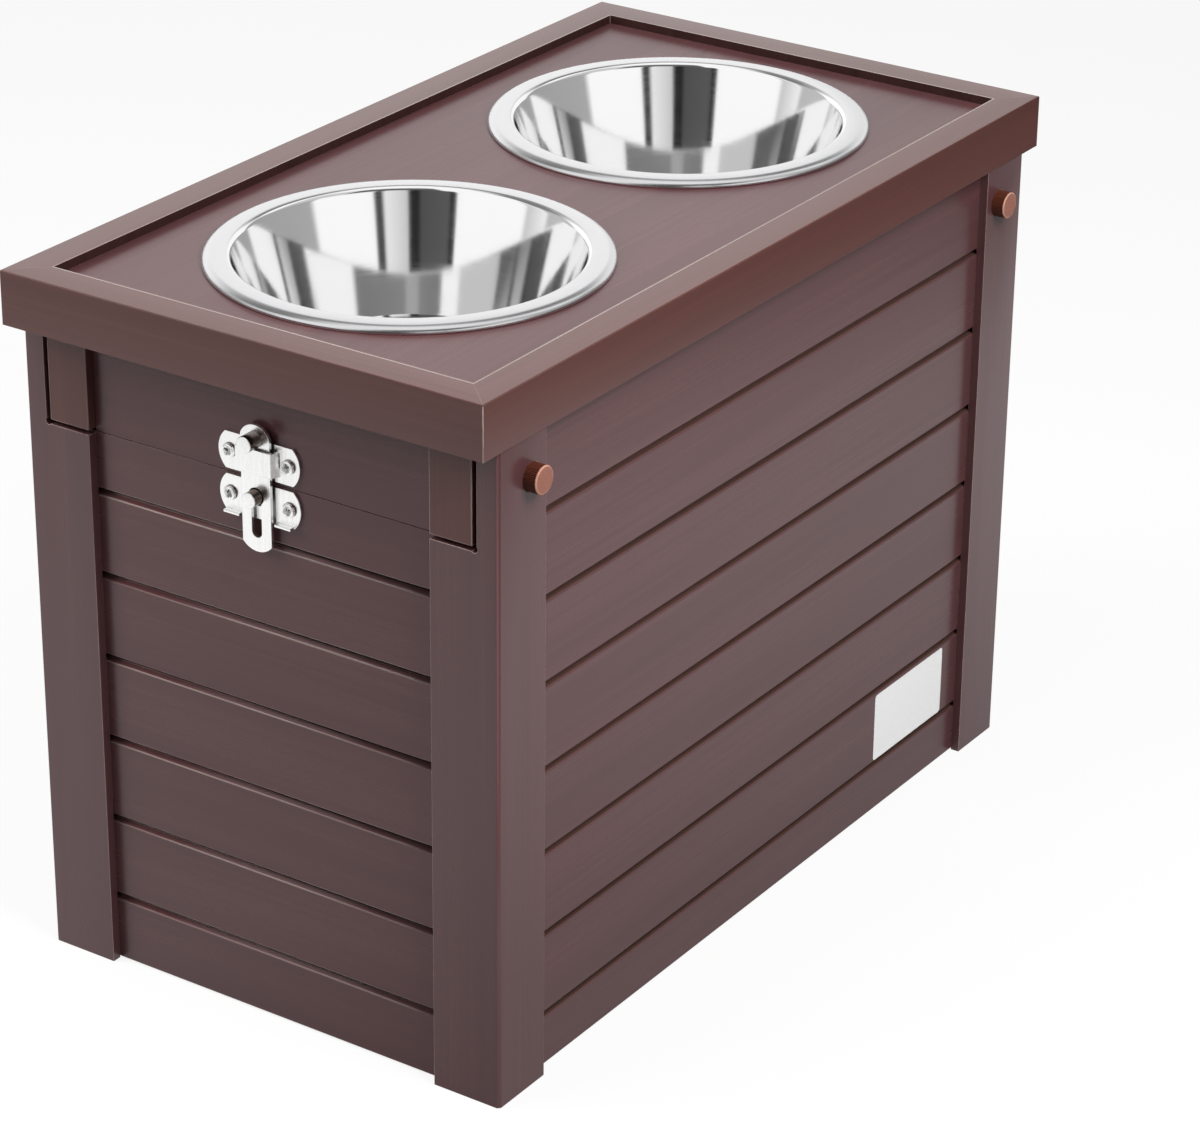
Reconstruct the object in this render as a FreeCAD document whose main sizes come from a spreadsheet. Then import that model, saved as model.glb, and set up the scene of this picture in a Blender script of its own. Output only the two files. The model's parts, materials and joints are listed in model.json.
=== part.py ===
import FreeCAD, Part
import os
import Sketcher

doc = FreeCAD.newDocument("RaisedFeeder")
sizes = doc.addObject("Spreadsheet::Sheet", "Sizes")
fits = doc.addObject("Spreadsheet::Sheet", "Fits")

# Driving sizes of the feeder, in millimetres. X runs along the long side, from the latch end to the
# hinge end. Y runs across, front to back. Z is up from the ground.
driving = {
    # cabinet, over the outer faces of the posts
    "body_length": "412",
    "body_width": "238",
    "lid_underside": "294",
    "lid_gap": "0.3",
    # corner posts
    "long_flange": "32",
    "short_flange": "33",
    "post_thickness": "16",
    "post_arris": "1.5",
    "long_recess": "4.3",
    "channel_depth": "4",
    # wall boards
    "slat_thickness": "8",
    "slat_end_gap": "0.2",
    "long_top_board": "37.4",
    "long_reveal": "3",
    "long_board_arris": "0.5",
    "end_reveal": "1.5",
    "end_board_arris": "1.8",
    "tongue_height": "5",
    "tongue_front": "3",
    "tongue_thickness": "2.4",
    "tongue_clearance": "0.15",
    "ground_gap": "0.8",
    "long_first_joint": "26.2",
    "end_first_joint": "32.9",
    # split between the lid's apron and the end wall, and the notches for the lid's legs
    "apron_drop": "43.9",
    "split_gap": "0.3",
    "notch_margin": "10.5",
    "notch_side_gap": "2.2",
    "notch_relief": "1.6",
    "leg_thickness": "13",
    "leg_gap": "2",
    "leg_lift": "1.3",
    # pegs
    "peg_radius": "6",
    "peg_clearance": "0.05",
    "peg_inset": "22",
    "peg_drop": "17.8",
    "peg_proud": "6.2",
    "peg_seat": "10",
    # storage floor
    "floor_thickness": "8",
    "floor_underside": "14",
    "batten_width": "12",
    "batten_height": "12",
    "batten_margin": "10",
    # lid
    "end_overhang": "11.2",
    "side_overhang": "0.8",
    "rail_width": "15.6",
    "rail_height": "23.7",
    "rail_arris": "0.5",
    "panel_recess": "4",
    "panel_thickness": "8",
    "panel_seat": "6",
    "panel_clearance": "0.2",
    # bowls
    "rim_margin": "16.2",
    "rim_gap": "33.2",
    "bowl_depth": "61.6",
    "bowl_rim_height": "2.6",
    "bowl_rim_round": "1.2",
    "bowl_sheet": "1",
    "bowl_rim_width": "9",
    "bowl_taper": "16.8",
    "bowl_base_round": "14",
    "bowl_hole_clearance": "2.6",
    # latch
    "plate_thickness": "1.2",
    "plate_width": "41",
    "plate_height": "16.2",
    "plate_wing": "3.5",
    "upper_plate_gap": "1.8",
    "lower_plate_gap": "0.6",
    "plate_hole_radius": "2",
    "plate_screw_spacing": "29.8",
    "lip_reach": "2.6",
    "lip_span": "34",
    "bar_width": "14.6",
    "bar_thickness": "1.5",
    "bar_stand": "1",
    "bar_above_split": "25.4",
    "bar_below_split": "30",
    "bar_end_rise": "3.4",
    "bar_top_rise": "5.2",
    "bar_side_clearance": "0.4",
    "bar_face_clearance": "0.3",
    "bridge_height": "10.6",
    "bridge_lift": "2.8",
    "bridge_splay": "2.4",
    "knob_radius": "3.6",
    "knob_length": "7.2",
    "knob_rest_gap": "0.3",
    "stud_radius": "3.3",
    "stud_length": "5",
    "stud_drop": "5.8",
    "stud_flange_radius": "4.6",
    "stud_flange_thickness": "0.6",
    "keyhole_radius": "3.8",
    "slot_width": "5",
    "slot_drop": "18",
    # hinges
    "leaf_length": "30",
    "leaf_height": "16",
    "leaf_thickness": "1.2",
    "leaf_edge_gap": "4",
    "hinge_inset": "41",
    "hinge_stand": "4",
    "knuckle_radius": "3.4",
    "knuckle_length": "9.8",
    "pin_radius": "1.6",
    "pin_clearance": "0.05",
    "leaf_screw_spacing": "18",
    # screws
    "screw_shank_radius": "1.7",
    "screw_length": "7",
    "screw_head_radius": "3.2",
    "screw_head_edge": "0.7",
    "screw_head_height": "1.6",
    "screw_head_flat": "2.2",
    # overrun of every cut past the face it leaves by
    "overrun": "2",
}
for row, (name, text) in enumerate(driving.items(), 1):
    cell = "A%d" % row
    sizes.set(cell, text)
    sizes.setAlias(cell, name)
doc.recompute()

# Places and fits that follow from the driving sizes.
derived = {
    "half_length": "Sizes.body_length / 2",
    "half_width": "Sizes.body_width / 2",
    "post_height": "Sizes.lid_underside - Sizes.lid_gap",
    "split_height": "Sizes.lid_underside - Sizes.apron_drop",
    # channels of the posts
    "short_recess": "Sizes.rail_width - Sizes.end_overhang",
    "long_channel_back": "Sizes.long_recess + Sizes.slat_thickness",
    "short_channel_back": "short_recess + Sizes.slat_thickness",
    "long_channel_end": "Sizes.long_flange - Sizes.channel_depth",
    "short_channel_end": "Sizes.short_flange - Sizes.channel_depth",
    # faces of the walls
    "long_face": "half_width - Sizes.long_recess",
    "end_face": "half_length - short_recess",
    "long_back_face": "long_face - Sizes.slat_thickness",
    "long_slat_length": "Sizes.body_length - 2 * (long_channel_end + Sizes.slat_end_gap)",
    "end_slat_length": "Sizes.body_width - 2 * (short_channel_end + Sizes.slat_end_gap)",
    # board sections
    "tongue_back": "Sizes.tongue_front + Sizes.tongue_thickness",
    "groove_front": "Sizes.tongue_front - Sizes.tongue_clearance",
    "groove_back": "tongue_back + Sizes.tongue_clearance",
    "groove_depth": "Sizes.tongue_height + 2 * Sizes.tongue_clearance",
    "slat_pitch": "(post_height - Sizes.long_first_joint - Sizes.long_top_board) / 6",
    "end_wall_top": "split_height - Sizes.split_gap / 2",
    "long_joints": "6 * slat_pitch",
    "end_joints": "5 * slat_pitch",
    "long_full_height": "slat_pitch",
    "end_full_height": "slat_pitch",
    "long_bottom_height": "Sizes.long_first_joint - Sizes.ground_gap",
    "long_top_height": "post_height - Sizes.long_first_joint - long_joints",
    "end_bottom_height": "Sizes.end_first_joint - Sizes.ground_gap",
    "end_top_height": "end_wall_top - Sizes.end_first_joint - end_joints",
    # notches and legs
    "notch_bottom": "split_height + Sizes.leg_lift - Sizes.leg_gap",
    "notch_top": "post_height + Sizes.overrun",
    "notch_end": "Sizes.short_flange + Sizes.overrun",
    "relief_inset": "Sizes.notch_margin + Sizes.notch_relief * sqrt(0.5)",
    "relief_level": "notch_bottom + Sizes.notch_relief * sqrt(0.5)",
    "leg_bottom": "split_height + Sizes.leg_lift",
    "leg_height": "Sizes.lid_underside - leg_bottom",
    "leg_outer": "half_width - Sizes.notch_margin - Sizes.notch_side_gap",
    "leg_inner": "half_width - Sizes.short_flange",
    "leg_width": "leg_outer - leg_inner",
    # pegs
    "peg_height": "Sizes.lid_underside - Sizes.peg_drop",
    "peg_bore": "Sizes.peg_radius + Sizes.peg_clearance",
    "peg_length": "Sizes.peg_seat + Sizes.peg_proud",
    "peg_x": "half_length - Sizes.peg_inset",
    "peg_y": "half_width - Sizes.peg_seat",
    # floor
    "floor_half_length": "half_length - Sizes.post_thickness",
    "floor_half_width": "half_width - Sizes.post_thickness",
    "floor_length": "2 * floor_half_length",
    "floor_width": "2 * floor_half_width",
    "batten_half": "half_length - Sizes.long_flange - Sizes.batten_margin",
    "batten_length": "2 * batten_half",
    "batten_inner": "long_back_face - Sizes.batten_width",
    "batten_bottom": "Sizes.floor_underside - Sizes.batten_height",
    # lid
    "lid_half_length": "half_length + Sizes.end_overhang",
    "lid_half_width": "half_width + Sizes.side_overhang",
    "lid_length": "2 * lid_half_length",
    "lid_width": "2 * lid_half_width",
    "rail_shoulder": "Sizes.rail_height - Sizes.rail_arris",
    "rail_groove_front": "Sizes.rail_width - Sizes.panel_seat",
    "rail_groove_top": "Sizes.rail_height - Sizes.panel_recess",
    "rail_groove_bottom": "rail_groove_top - Sizes.panel_thickness",
    "mitre_reach": "Sizes.rail_width + Sizes.overrun",
    "lid_length_less_mitre": "lid_length - mitre_reach",
    "lid_width_less_mitre": "lid_width - mitre_reach",
    "panel_edge": "rail_groove_front + Sizes.panel_clearance",
    "panel_half_length": "lid_half_length - panel_edge",
    "panel_half_width": "lid_half_width - panel_edge",
    "panel_length": "2 * panel_half_length",
    "panel_width": "2 * panel_half_width",
    "panel_underside": "Sizes.lid_underside + rail_groove_bottom",
    "panel_top": "panel_underside + Sizes.panel_thickness",
    "apron_bottom": "split_height + Sizes.split_gap / 2",
    "apron_height": "panel_underside - apron_bottom",
    "apron_width": "2 * leg_inner",
    # bowls
    "lid_opening_length": "lid_length - 2 * Sizes.rail_width",
    "bowl_rim_radius": "(lid_opening_length - 2 * Sizes.rim_margin - Sizes.rim_gap) / 4",
    "bowl_neck_radius": "bowl_rim_radius - Sizes.bowl_rim_width",
    "bowl_base_radius": "bowl_neck_radius - Sizes.bowl_taper",
    "bowl_offset": "bowl_rim_radius + Sizes.rim_gap / 2",
    "bowl_hole_radius": "bowl_neck_radius + Sizes.bowl_hole_clearance",
    "bowl_hole_first": "panel_half_length - bowl_offset",
    "bowl_hole_second": "panel_half_length + bowl_offset",
    "bowl_seat": "Sizes.bowl_depth - Sizes.bowl_rim_height",
    "bowl_rim_under": "Sizes.bowl_depth - Sizes.bowl_sheet",
    "bowl_lip_inner": "bowl_rim_radius - Sizes.bowl_sheet",
    "bowl_neck_inner": "bowl_neck_radius - Sizes.bowl_sheet",
    "bowl_base_inner": "bowl_base_radius - Sizes.bowl_sheet",
    "bowl_base_inner_round": "Sizes.bowl_base_round - Sizes.bowl_sheet",
    "bowl_bottom": "panel_top - bowl_seat",
    # latch
    "plate_wing_end": "Sizes.plate_width - Sizes.plate_wing",
    "plate_mid": "Sizes.plate_height / 2",
    "plate_half_width": "Sizes.plate_width / 2",
    "plate_wing_radius": "(Sizes.plate_wing ^ 2 + plate_mid ^ 2) / (2 * Sizes.plate_wing)",
    "plate_hole_first": "plate_half_width - Sizes.plate_screw_spacing / 2",
    "plate_hole_second": "plate_half_width + Sizes.plate_screw_spacing / 2",
    "upper_plate_bottom": "split_height + Sizes.upper_plate_gap",
    "lower_plate_top": "split_height - Sizes.lower_plate_gap",
    "lower_plate_bottom": "lower_plate_top - Sizes.plate_height",
    "bar_back": "Sizes.plate_thickness + Sizes.bar_stand",
    "bar_front": "bar_back + Sizes.bar_thickness",
    "bar_half_width": "Sizes.bar_width / 2",
    "bridge_back": "bar_front + Sizes.bar_face_clearance",
    "bridge_front": "bridge_back + Sizes.plate_thickness",
    "bridge_inner_first": "plate_half_width - bar_half_width - Sizes.bar_side_clearance",
    "bridge_inner_second": "plate_half_width + bar_half_width + Sizes.bar_side_clearance",
    "bridge_outer_first": "bridge_inner_first - Sizes.plate_thickness",
    "bridge_outer_second": "bridge_inner_second + Sizes.plate_thickness",
    "bridge_foot_first": "bridge_outer_first - Sizes.bridge_splay",
    "bridge_foot_second": "bridge_outer_second + Sizes.bridge_splay",
    "bridge_heel_first": "bridge_inner_first - Sizes.bridge_splay",
    "bridge_heel_second": "bridge_inner_second + Sizes.bridge_splay",
    "bridge_top": "upper_plate_bottom + Sizes.bridge_lift + Sizes.bridge_height",
    "lip_first": "plate_half_width - Sizes.lip_span / 2",
    "lip_last": "plate_half_width + Sizes.lip_span / 2",
    "lip_front": "Sizes.plate_thickness + Sizes.lip_reach",
    "bar_length": "Sizes.bar_above_split + Sizes.bar_below_split",
    "bar_bottom": "split_height - Sizes.bar_below_split",
    "bar_shoulder": "bar_length - Sizes.bar_top_rise",
    "bar_top_radius": "(bar_half_width ^ 2 + Sizes.bar_top_rise ^ 2) / (2 * Sizes.bar_top_rise)",
    "bar_end_radius": "(bar_half_width ^ 2 + Sizes.bar_end_rise ^ 2) / (2 * Sizes.bar_end_rise)",
    "keyhole_height": "Sizes.bar_below_split - Sizes.stud_drop",
    "slot_bottom": "keyhole_height - Sizes.slot_drop",
    "slot_half_width": "Sizes.slot_width / 2",
    "slot_first": "bar_half_width - slot_half_width",
    "slot_last": "bar_half_width + slot_half_width",
    "slot_low": "slot_bottom + slot_half_width",
    "knob_x": "end_face + bar_front",
    "knob_z": "bridge_top + Sizes.knob_radius + Sizes.knob_rest_gap",
    "stud_flange_x": "end_face + bar_back - Sizes.stud_flange_thickness",
    "stud_reach": "Sizes.stud_flange_thickness + Sizes.bar_thickness + Sizes.stud_length",
    "stud_z": "split_height - Sizes.stud_drop",
    # hinges
    "hinge_x": "end_face + Sizes.hinge_stand",
    "hinge_first": "Sizes.hinge_inset - leg_inner",
    "hinge_second": "leg_inner - Sizes.hinge_inset",
    "leaf_half": "Sizes.leaf_length / 2",
    "leaf_plate_height": "Sizes.leaf_height - Sizes.leaf_edge_gap",
    "lid_leaf_bottom": "split_height + Sizes.leaf_edge_gap",
    "cabinet_leaf_bottom": "split_height - Sizes.leaf_height",
    "cabinet_tab_bottom": "split_height - Sizes.leaf_edge_gap",
    "knuckle_step": "(Sizes.leaf_length - Sizes.knuckle_length) / 2",
    "pin_bore": "Sizes.pin_radius + Sizes.pin_clearance",
    "leaf_hole_start": "end_face - Sizes.overrun",
    "leaf_hole_length": "Sizes.leaf_thickness + 2 * Sizes.overrun",
    "leaf_screw_rise": "(Sizes.leaf_height + Sizes.leaf_edge_gap) / 2",
    # screws
    "screw_head_top": "Sizes.screw_length + Sizes.screw_head_height",
    "screw_head_shoulder": "Sizes.screw_length + Sizes.screw_head_edge",
    "screw_tip": "end_face + Sizes.plate_thickness - Sizes.screw_length",
    "latch_screw_y": "Sizes.plate_screw_spacing / 2",
    "upper_screw_z": "upper_plate_bottom + plate_mid",
    "lower_screw_z": "lower_plate_bottom + plate_mid",
    "leaf_screw_y": "Sizes.leaf_screw_spacing / 2",
    "lid_leaf_screw_z": "split_height + leaf_screw_rise",
    "cabinet_leaf_screw_z": "split_height - leaf_screw_rise",
}
for row, (name, formula) in enumerate(derived.items(), 1):
    cell = "A%d" % row
    fits.set(cell, "=" + formula)
    fits.setAlias(cell, name)
doc.recompute()

UP = FreeCAD.Vector(0, 0, 1)
ALONG = FreeCAD.Vector(1, 0, 0)
ACROSS = FreeCAD.Vector(0, 1, 0)
pieces = []


def ref(name):
    sheet = "Sizes" if name in driving else "Fits"
    return sheet + "." + name


def size(name):
    if name is None:
        return 0.0
    holder = sizes if name in driving else fits
    return float(holder.get(name))


def place(piece, x, y, z, turn=0, axis=UP):
    piece.Placement = FreeCAD.Placement(FreeCAD.Vector(0, 0, 0), FreeCAD.Rotation(axis, turn))
    for key, text in zip("xyz", (x, y, z)):
        if text:
            piece.setExpression("Placement.Base." + key, text)


def keep(piece, label):
    piece.Label = label
    pieces.append(piece)
    return piece


def new_body(label):
    return doc.addObject("PartDesign::Body", label)


def new_sketch(body, name, role, lift=None):
    sketch = body.newObject("Sketcher::SketchObject", name)
    plane = [item for item in body.Origin.OriginFeatures if item.Role == role][0]
    sketch.AttachmentSupport = [(plane, "")]
    sketch.MapMode = "FlatFace"
    if lift:
        sketch.setExpression("AttachmentOffset.Base.z", ref(lift))
    return sketch


def bind(sketch, constraint, name):
    index = sketch.addConstraint(constraint)
    sketch.setExpression("Constraints[%d]" % index, ref(name))


def fix_point(sketch, line, end, across, up):
    for kind, axis, name in (("DistanceX", -2, across), ("DistanceY", -1, up)):
        if name is None:
            sketch.addConstraint(Sketcher.Constraint("PointOnObject", line, end, axis))
        else:
            bind(sketch, Sketcher.Constraint(kind, -1, 1, line, end, size(name)), name)


def outline(sketch, corners):
    first = sketch.GeometryCount
    count = len(corners)
    spots = [FreeCAD.Vector(size(across), size(up), 0) for across, up in corners]
    for index in range(count):
        sketch.addGeometry(Part.LineSegment(spots[index], spots[(index + 1) % count]), False)
    for index in range(count):
        after = first + (index + 1) % count
        sketch.addConstraint(Sketcher.Constraint("Coincident", first + index, 2, after, 1))
    for index, (across, up) in enumerate(corners):
        fix_point(sketch, first + index, 1, across, up)


def bulged_strip(sketch, corners, bulges, names):
    # four corners, anticlockwise, with an arc in place of each side that has a bulge
    spots = [FreeCAD.Vector(size(across), size(up), 0) for across, up in corners]
    for index in range(4):
        start = spots[index]
        end = spots[(index + 1) % 4]
        if bulges[index] is None:
            sketch.addGeometry(Part.LineSegment(start, end), False)
        else:
            sketch.addGeometry(Part.Arc(start, bulges[index], end), False)
    for index in range(4):
        sketch.addConstraint(Sketcher.Constraint("Coincident", index, 2, (index + 1) % 4, 1))
    for index, (across, up) in enumerate(corners):
        fix_point(sketch, index, 1, across, up)
    for index, name in enumerate(names):
        if name:
            bind(sketch, Sketcher.Constraint("Radius", index, size(name)), name)


def circle(sketch, across, up, radius):
    centre = FreeCAD.Vector(size(across), size(up), 0)
    ring = sketch.addGeometry(Part.Circle(centre, UP, size(radius)), False)
    fix_point(sketch, ring, 3, across, up)
    bind(sketch, Sketcher.Constraint("Radius", ring, size(radius)), radius)


def pad(body, sketch, length):
    feature = body.newObject("PartDesign::Pad", "Pad")
    feature.Profile = sketch
    feature.setExpression("Length", ref(length))
    return feature


def pocket(body, sketch, depth=None, flip=False):
    feature = body.newObject("PartDesign::Pocket", "Pocket")
    feature.Profile = sketch
    if depth:
        feature.setExpression("Length", ref(depth))
        feature.Reversed = flip
    else:
        feature.Type = "ThroughAll"
        feature.SideType = "Symmetric"
    return feature


def revolve(body, sketch):
    feature = body.newObject("PartDesign::Revolution", "Revolution")
    feature.Profile = sketch
    feature.ReferenceAxis = (sketch, ["V_Axis"])
    feature.Angle = 360
    return feature


def block(name, length, width, height, x, y, z):
    box = doc.addObject("Part::Box", name)
    box.setExpression("Length", ref(length))
    box.setExpression("Width", ref(width))
    box.setExpression("Height", ref(height))
    place(box, x, y, z)
    return box


def rod(name, radius, length, x, y, z, turn, axis):
    bar = doc.addObject("Part::Cylinder", name)
    bar.setExpression("Radius", ref(radius))
    bar.setExpression("Height", ref(length))
    place(bar, x, y, z, turn, axis)
    return bar


def group(label, members):
    bundle = doc.addObject("Part::Compound", label)
    bundle.Links = members
    return keep(bundle, label)


def joined(name, members):
    whole = doc.addObject("Part::MultiFuse", name)
    whole.Shapes = members
    return whole


# Corner posts: an L-shaped length with a channel in the end of each flange for the wall boards.
# The end flange is notched at the top for a leg of the lid, with a small round relief in the corner of
# the notch, and the long flange has a blind bore for a peg.
def post(label, first, second, x, y, turn):
    body = new_body(label)
    section = new_sketch(body, "Section", "XY_Plane")
    outline(section, [
        ("post_arris", None),
        (first + "_flange", None),
        (first + "_flange", first + "_recess"),
        (first + "_channel_end", first + "_recess"),
        (first + "_channel_end", first + "_channel_back"),
        (first + "_flange", first + "_channel_back"),
        (first + "_flange", "post_thickness"),
        ("post_thickness", "post_thickness"),
        ("post_thickness", second + "_flange"),
        (second + "_channel_back", second + "_flange"),
        (second + "_channel_back", second + "_channel_end"),
        (second + "_recess", second + "_channel_end"),
        (second + "_recess", second + "_flange"),
        (None, second + "_flange"),
        (None, "post_arris"),
    ])
    pad(body, section, "post_height")
    role = {first: "XZ_Plane", second: "YZ_Plane"}
    flip = {first: False, second: True}
    notch = new_sketch(body, "Notch", role["short"])
    outline(notch, [
        ("notch_margin", "notch_bottom"),
        ("notch_end", "notch_bottom"),
        ("notch_end", "notch_top"),
        ("notch_margin", "notch_top"),
    ])
    pocket(body, notch, "post_thickness", flip["short"])
    relief = new_sketch(body, "Relief", role["short"])
    circle(relief, "relief_inset", "relief_level", "notch_relief")
    pocket(body, relief, "post_thickness", flip["short"])
    bore = new_sketch(body, "Bore", role["long"])
    circle(bore, "peg_inset", "peg_height", "peg_bore")
    pocket(body, bore, "peg_seat", flip["long"])
    place(body, x, y, None, turn)
    keep(body, label)


post("post_front_latch_end", "long", "short", "-Fits.half_length", "-Fits.half_width", 0)
post("post_front_hinge_end", "short", "long", "Fits.half_length", "-Fits.half_width", 90)
post("post_back_hinge_end", "long", "short", "Fits.half_length", "Fits.half_width", 180)
post("post_back_latch_end", "short", "long", "-Fits.half_length", "Fits.half_width", 270)


# Wall boards: tongue on the upper edge, groove in the lower one, and a reveal left open between two
# faces. The lowest board is ripped flat at the bottom and the highest flat at the top.
def board_section(body, kind, height, grooved, tongued):
    section = new_sketch(body, "Section", "YZ_Plane")
    corners = [(None, None)]
    if grooved:
        corners += [
            ("groove_front", None),
            ("groove_front", "groove_depth"),
            ("groove_back", "groove_depth"),
            ("groove_back", None),
        ]
    corners += [("slat_thickness", None), ("slat_thickness", height + "_height")]
    if tongued:
        corners += [
            ("tongue_back", height + "_height"),
            ("tongue_back", height + "_tongue_top"),
            ("tongue_front", height + "_tongue_top"),
            ("tongue_front", height + "_shoulder"),
            (kind + "_board_arris", height + "_shoulder"),
            (None, height + "_face_top"),
        ]
    else:
        corners += [(None, height + "_height")]
    outline(section, corners)
    return section


row = len(derived)
for height in ("long_full", "long_bottom", "end_full", "end_bottom"):
    kind = height.split("_")[0]
    formulas = {
        height + "_tongue_top": height + "_height + Sizes.tongue_height",
        height + "_shoulder": "%s_height - Sizes.%s_reveal" % (height, kind),
        height + "_face_top": "%s_shoulder - Sizes.%s_board_arris" % (height, kind),
    }
    for name, formula in formulas.items():
        row += 1
        fits.set("A%d" % row, "=" + formula)
        fits.setAlias("A%d" % row, name)
doc.recompute()


def wall(stem, count, kind, x, y, turn):
    for number in range(1, count + 1):
        lowest = number == 1
        highest = number == count
        height = kind + "_full"
        if lowest:
            height = kind + "_bottom"
        if highest:
            height = kind + "_top"
        label = "%s_board_%d" % (stem, number)
        body = new_body(label)
        pad(body, board_section(body, kind, height, not lowest, not highest), kind + "_slat_length")
        level = "Sizes.ground_gap"
        if not lowest:
            level = "Sizes.%s_first_joint + %d * Fits.slat_pitch" % (kind, number - 2)
        place(body, x, y, level, turn)
        keep(body, label)


wall("front", 8, "long", "-Fits.long_slat_length / 2", "-Fits.long_face", 0)
wall("back", 8, "long", "Fits.long_slat_length / 2", "Fits.long_face", 180)
wall("latch_end", 7, "end", "-Fits.end_face", "Fits.end_slat_length / 2", 270)
wall("hinge_end", 7, "end", "Fits.end_face", "-Fits.end_slat_length / 2", 90)

# Floor of the storage space, carried on a batten along the inside of each long wall.
keep(block("floor_panel", "floor_length", "floor_width", "floor_thickness",
           "-Fits.floor_half_length", "-Fits.floor_half_width", "Sizes.floor_underside"), "floor_panel")
group("floor_battens", [
    block("batten_front", "batten_length", "batten_width", "batten_height",
          "-Fits.batten_half", "-Fits.long_back_face", "Fits.batten_bottom"),
    block("batten_back", "batten_length", "batten_width", "batten_height",
          "-Fits.batten_half", "Fits.batten_inner", "Fits.batten_bottom"),
])


# Lid rails: mitred at both ends, arris taken off the top outer edge, groove inside for the panel.
def rail(label, length, x, y, turn):
    body = new_body(label)
    section = new_sketch(body, "Section", "YZ_Plane")
    outline(section, [
        (None, None),
        ("rail_width", None),
        ("rail_width", "rail_groove_bottom"),
        ("rail_groove_front", "rail_groove_bottom"),
        ("rail_groove_front", "rail_groove_top"),
        ("rail_width", "rail_groove_top"),
        ("rail_width", "rail_height"),
        ("rail_arris", "rail_height"),
        (None, "rail_shoulder"),
    ])
    pad(body, section, length)
    near_mitre = new_sketch(body, "NearMitre", "XY_Plane")
    outline(near_mitre, [(None, None), ("mitre_reach", "mitre_reach"), (None, "mitre_reach")])
    pocket(body, near_mitre)
    far_mitre = new_sketch(body, "FarMitre", "XY_Plane")
    outline(far_mitre, [(length, None), (length, "mitre_reach"), (length + "_less_mitre", "mitre_reach")])
    pocket(body, far_mitre)
    place(body, x, y, "Sizes.lid_underside", turn)
    keep(body, label)


rail("lid_rail_front", "lid_length", "-Fits.lid_half_length", "-Fits.lid_half_width", 0)
rail("lid_rail_hinge_end", "lid_width", "Fits.lid_half_length", "-Fits.lid_half_width", 90)
rail("lid_rail_back", "lid_length", "Fits.lid_half_length", "Fits.lid_half_width", 180)
rail("lid_rail_latch_end", "lid_width", "-Fits.lid_half_length", "Fits.lid_half_width", 270)

# Lid panel, held in the grooves of the rails, with a round opening for each bowl.
lid_panel = new_body("lid_panel")
panel_shape = new_sketch(lid_panel, "Shape", "XY_Plane")
outline(panel_shape, [(None, None), ("panel_length", None), ("panel_length", "panel_width"),
                      (None, "panel_width")])
circle(panel_shape, "bowl_hole_first", "panel_half_width", "bowl_hole_radius")
circle(panel_shape, "bowl_hole_second", "panel_half_width", "bowl_hole_radius")
pad(lid_panel, panel_shape, "panel_thickness")
place(lid_panel, "-Fits.panel_half_length", "-Fits.panel_half_width", "Fits.panel_underside")
keep(lid_panel, "lid_panel")

# Apron boards under the two ends of the lid, and the lid's four corner legs beside them.
keep(block("lid_apron_latch_end", "slat_thickness", "apron_width", "apron_height",
           "-Fits.end_face", "-Fits.leg_inner", "Fits.apron_bottom"), "lid_apron_latch_end")
keep(block("lid_apron_hinge_end", "slat_thickness", "apron_width", "apron_height",
           "Fits.end_face - Sizes.slat_thickness", "-Fits.leg_inner", "Fits.apron_bottom"),
     "lid_apron_hinge_end")
legs = []
for x in ("-Fits.half_length", "Fits.half_length - Sizes.leg_thickness"):
    for y in ("-Fits.leg_outer", "Fits.leg_inner"):
        legs.append(block("leg", "leg_thickness", "leg_width", "leg_height", x, y, "Fits.leg_bottom"))
group("lid_legs", legs)

# Pegs, pushed into the blind bores of the posts from outside.
for side, sign, turn in (("front", "-", 90), ("back", "", -90)):
    for end, way in (("latch_end", "-"), ("hinge_end", "")):
        label = "peg_%s_%s" % (side, end)
        keep(rod(label, "peg_radius", "peg_length", way + "Fits.peg_x", sign + "Fits.peg_y",
                 "Fits.peg_height", turn, ALONG), label)


# Bowls: spun from steel sheet, with a flat rim turned down at its edge, which rests on the lid panel.
def bowl(label, x):
    body = new_body(label)
    section = new_sketch(body, "Section", "XZ_Plane")
    outline(section, [
        (None, None),
        ("bowl_base_radius", None),
        ("bowl_neck_radius", "bowl_rim_under"),
        ("bowl_lip_inner", "bowl_rim_under"),
        ("bowl_lip_inner", "bowl_seat"),
        ("bowl_rim_radius", "bowl_seat"),
        ("bowl_rim_radius", "bowl_depth"),
        ("bowl_neck_inner", "bowl_depth"),
        ("bowl_base_inner", "bowl_sheet"),
        (None, "bowl_sheet"),
    ])
    spun = revolve(body, section)
    doc.recompute()
    rounds = (
        ("bowl_base_radius", None, "bowl_base_round"),
        ("bowl_base_inner", "bowl_sheet", "bowl_base_inner_round"),
        ("bowl_rim_radius", "bowl_depth", "bowl_rim_round"),
        ("bowl_neck_inner", "bowl_depth", "bowl_rim_round"),
    )
    base = spun
    for radius, level, amount in rounds:
        found = []
        for index, edge in enumerate(base.Shape.Edges, 1):
            curve = edge.Curve
            if not isinstance(curve, Part.Circle):
                continue
            level_error = abs(curve.Center.z - size(level))
            radius_error = abs(curve.Radius - size(radius))
            if max(level_error, radius_error) < size("bowl_sheet") / 100:
                found.append("Edge%d" % index)
        rounded = body.newObject("PartDesign::Fillet", "Round")
        rounded.Base = (base, found)
        rounded.setExpression("Radius", ref(amount))
        doc.recompute()
        base = rounded
    place(body, x, None, "Fits.bowl_bottom")
    keep(body, label)


bowl("bowl_latch_end", "-Fits.bowl_offset")
bowl("bowl_hinge_end", "Fits.bowl_offset")


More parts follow.
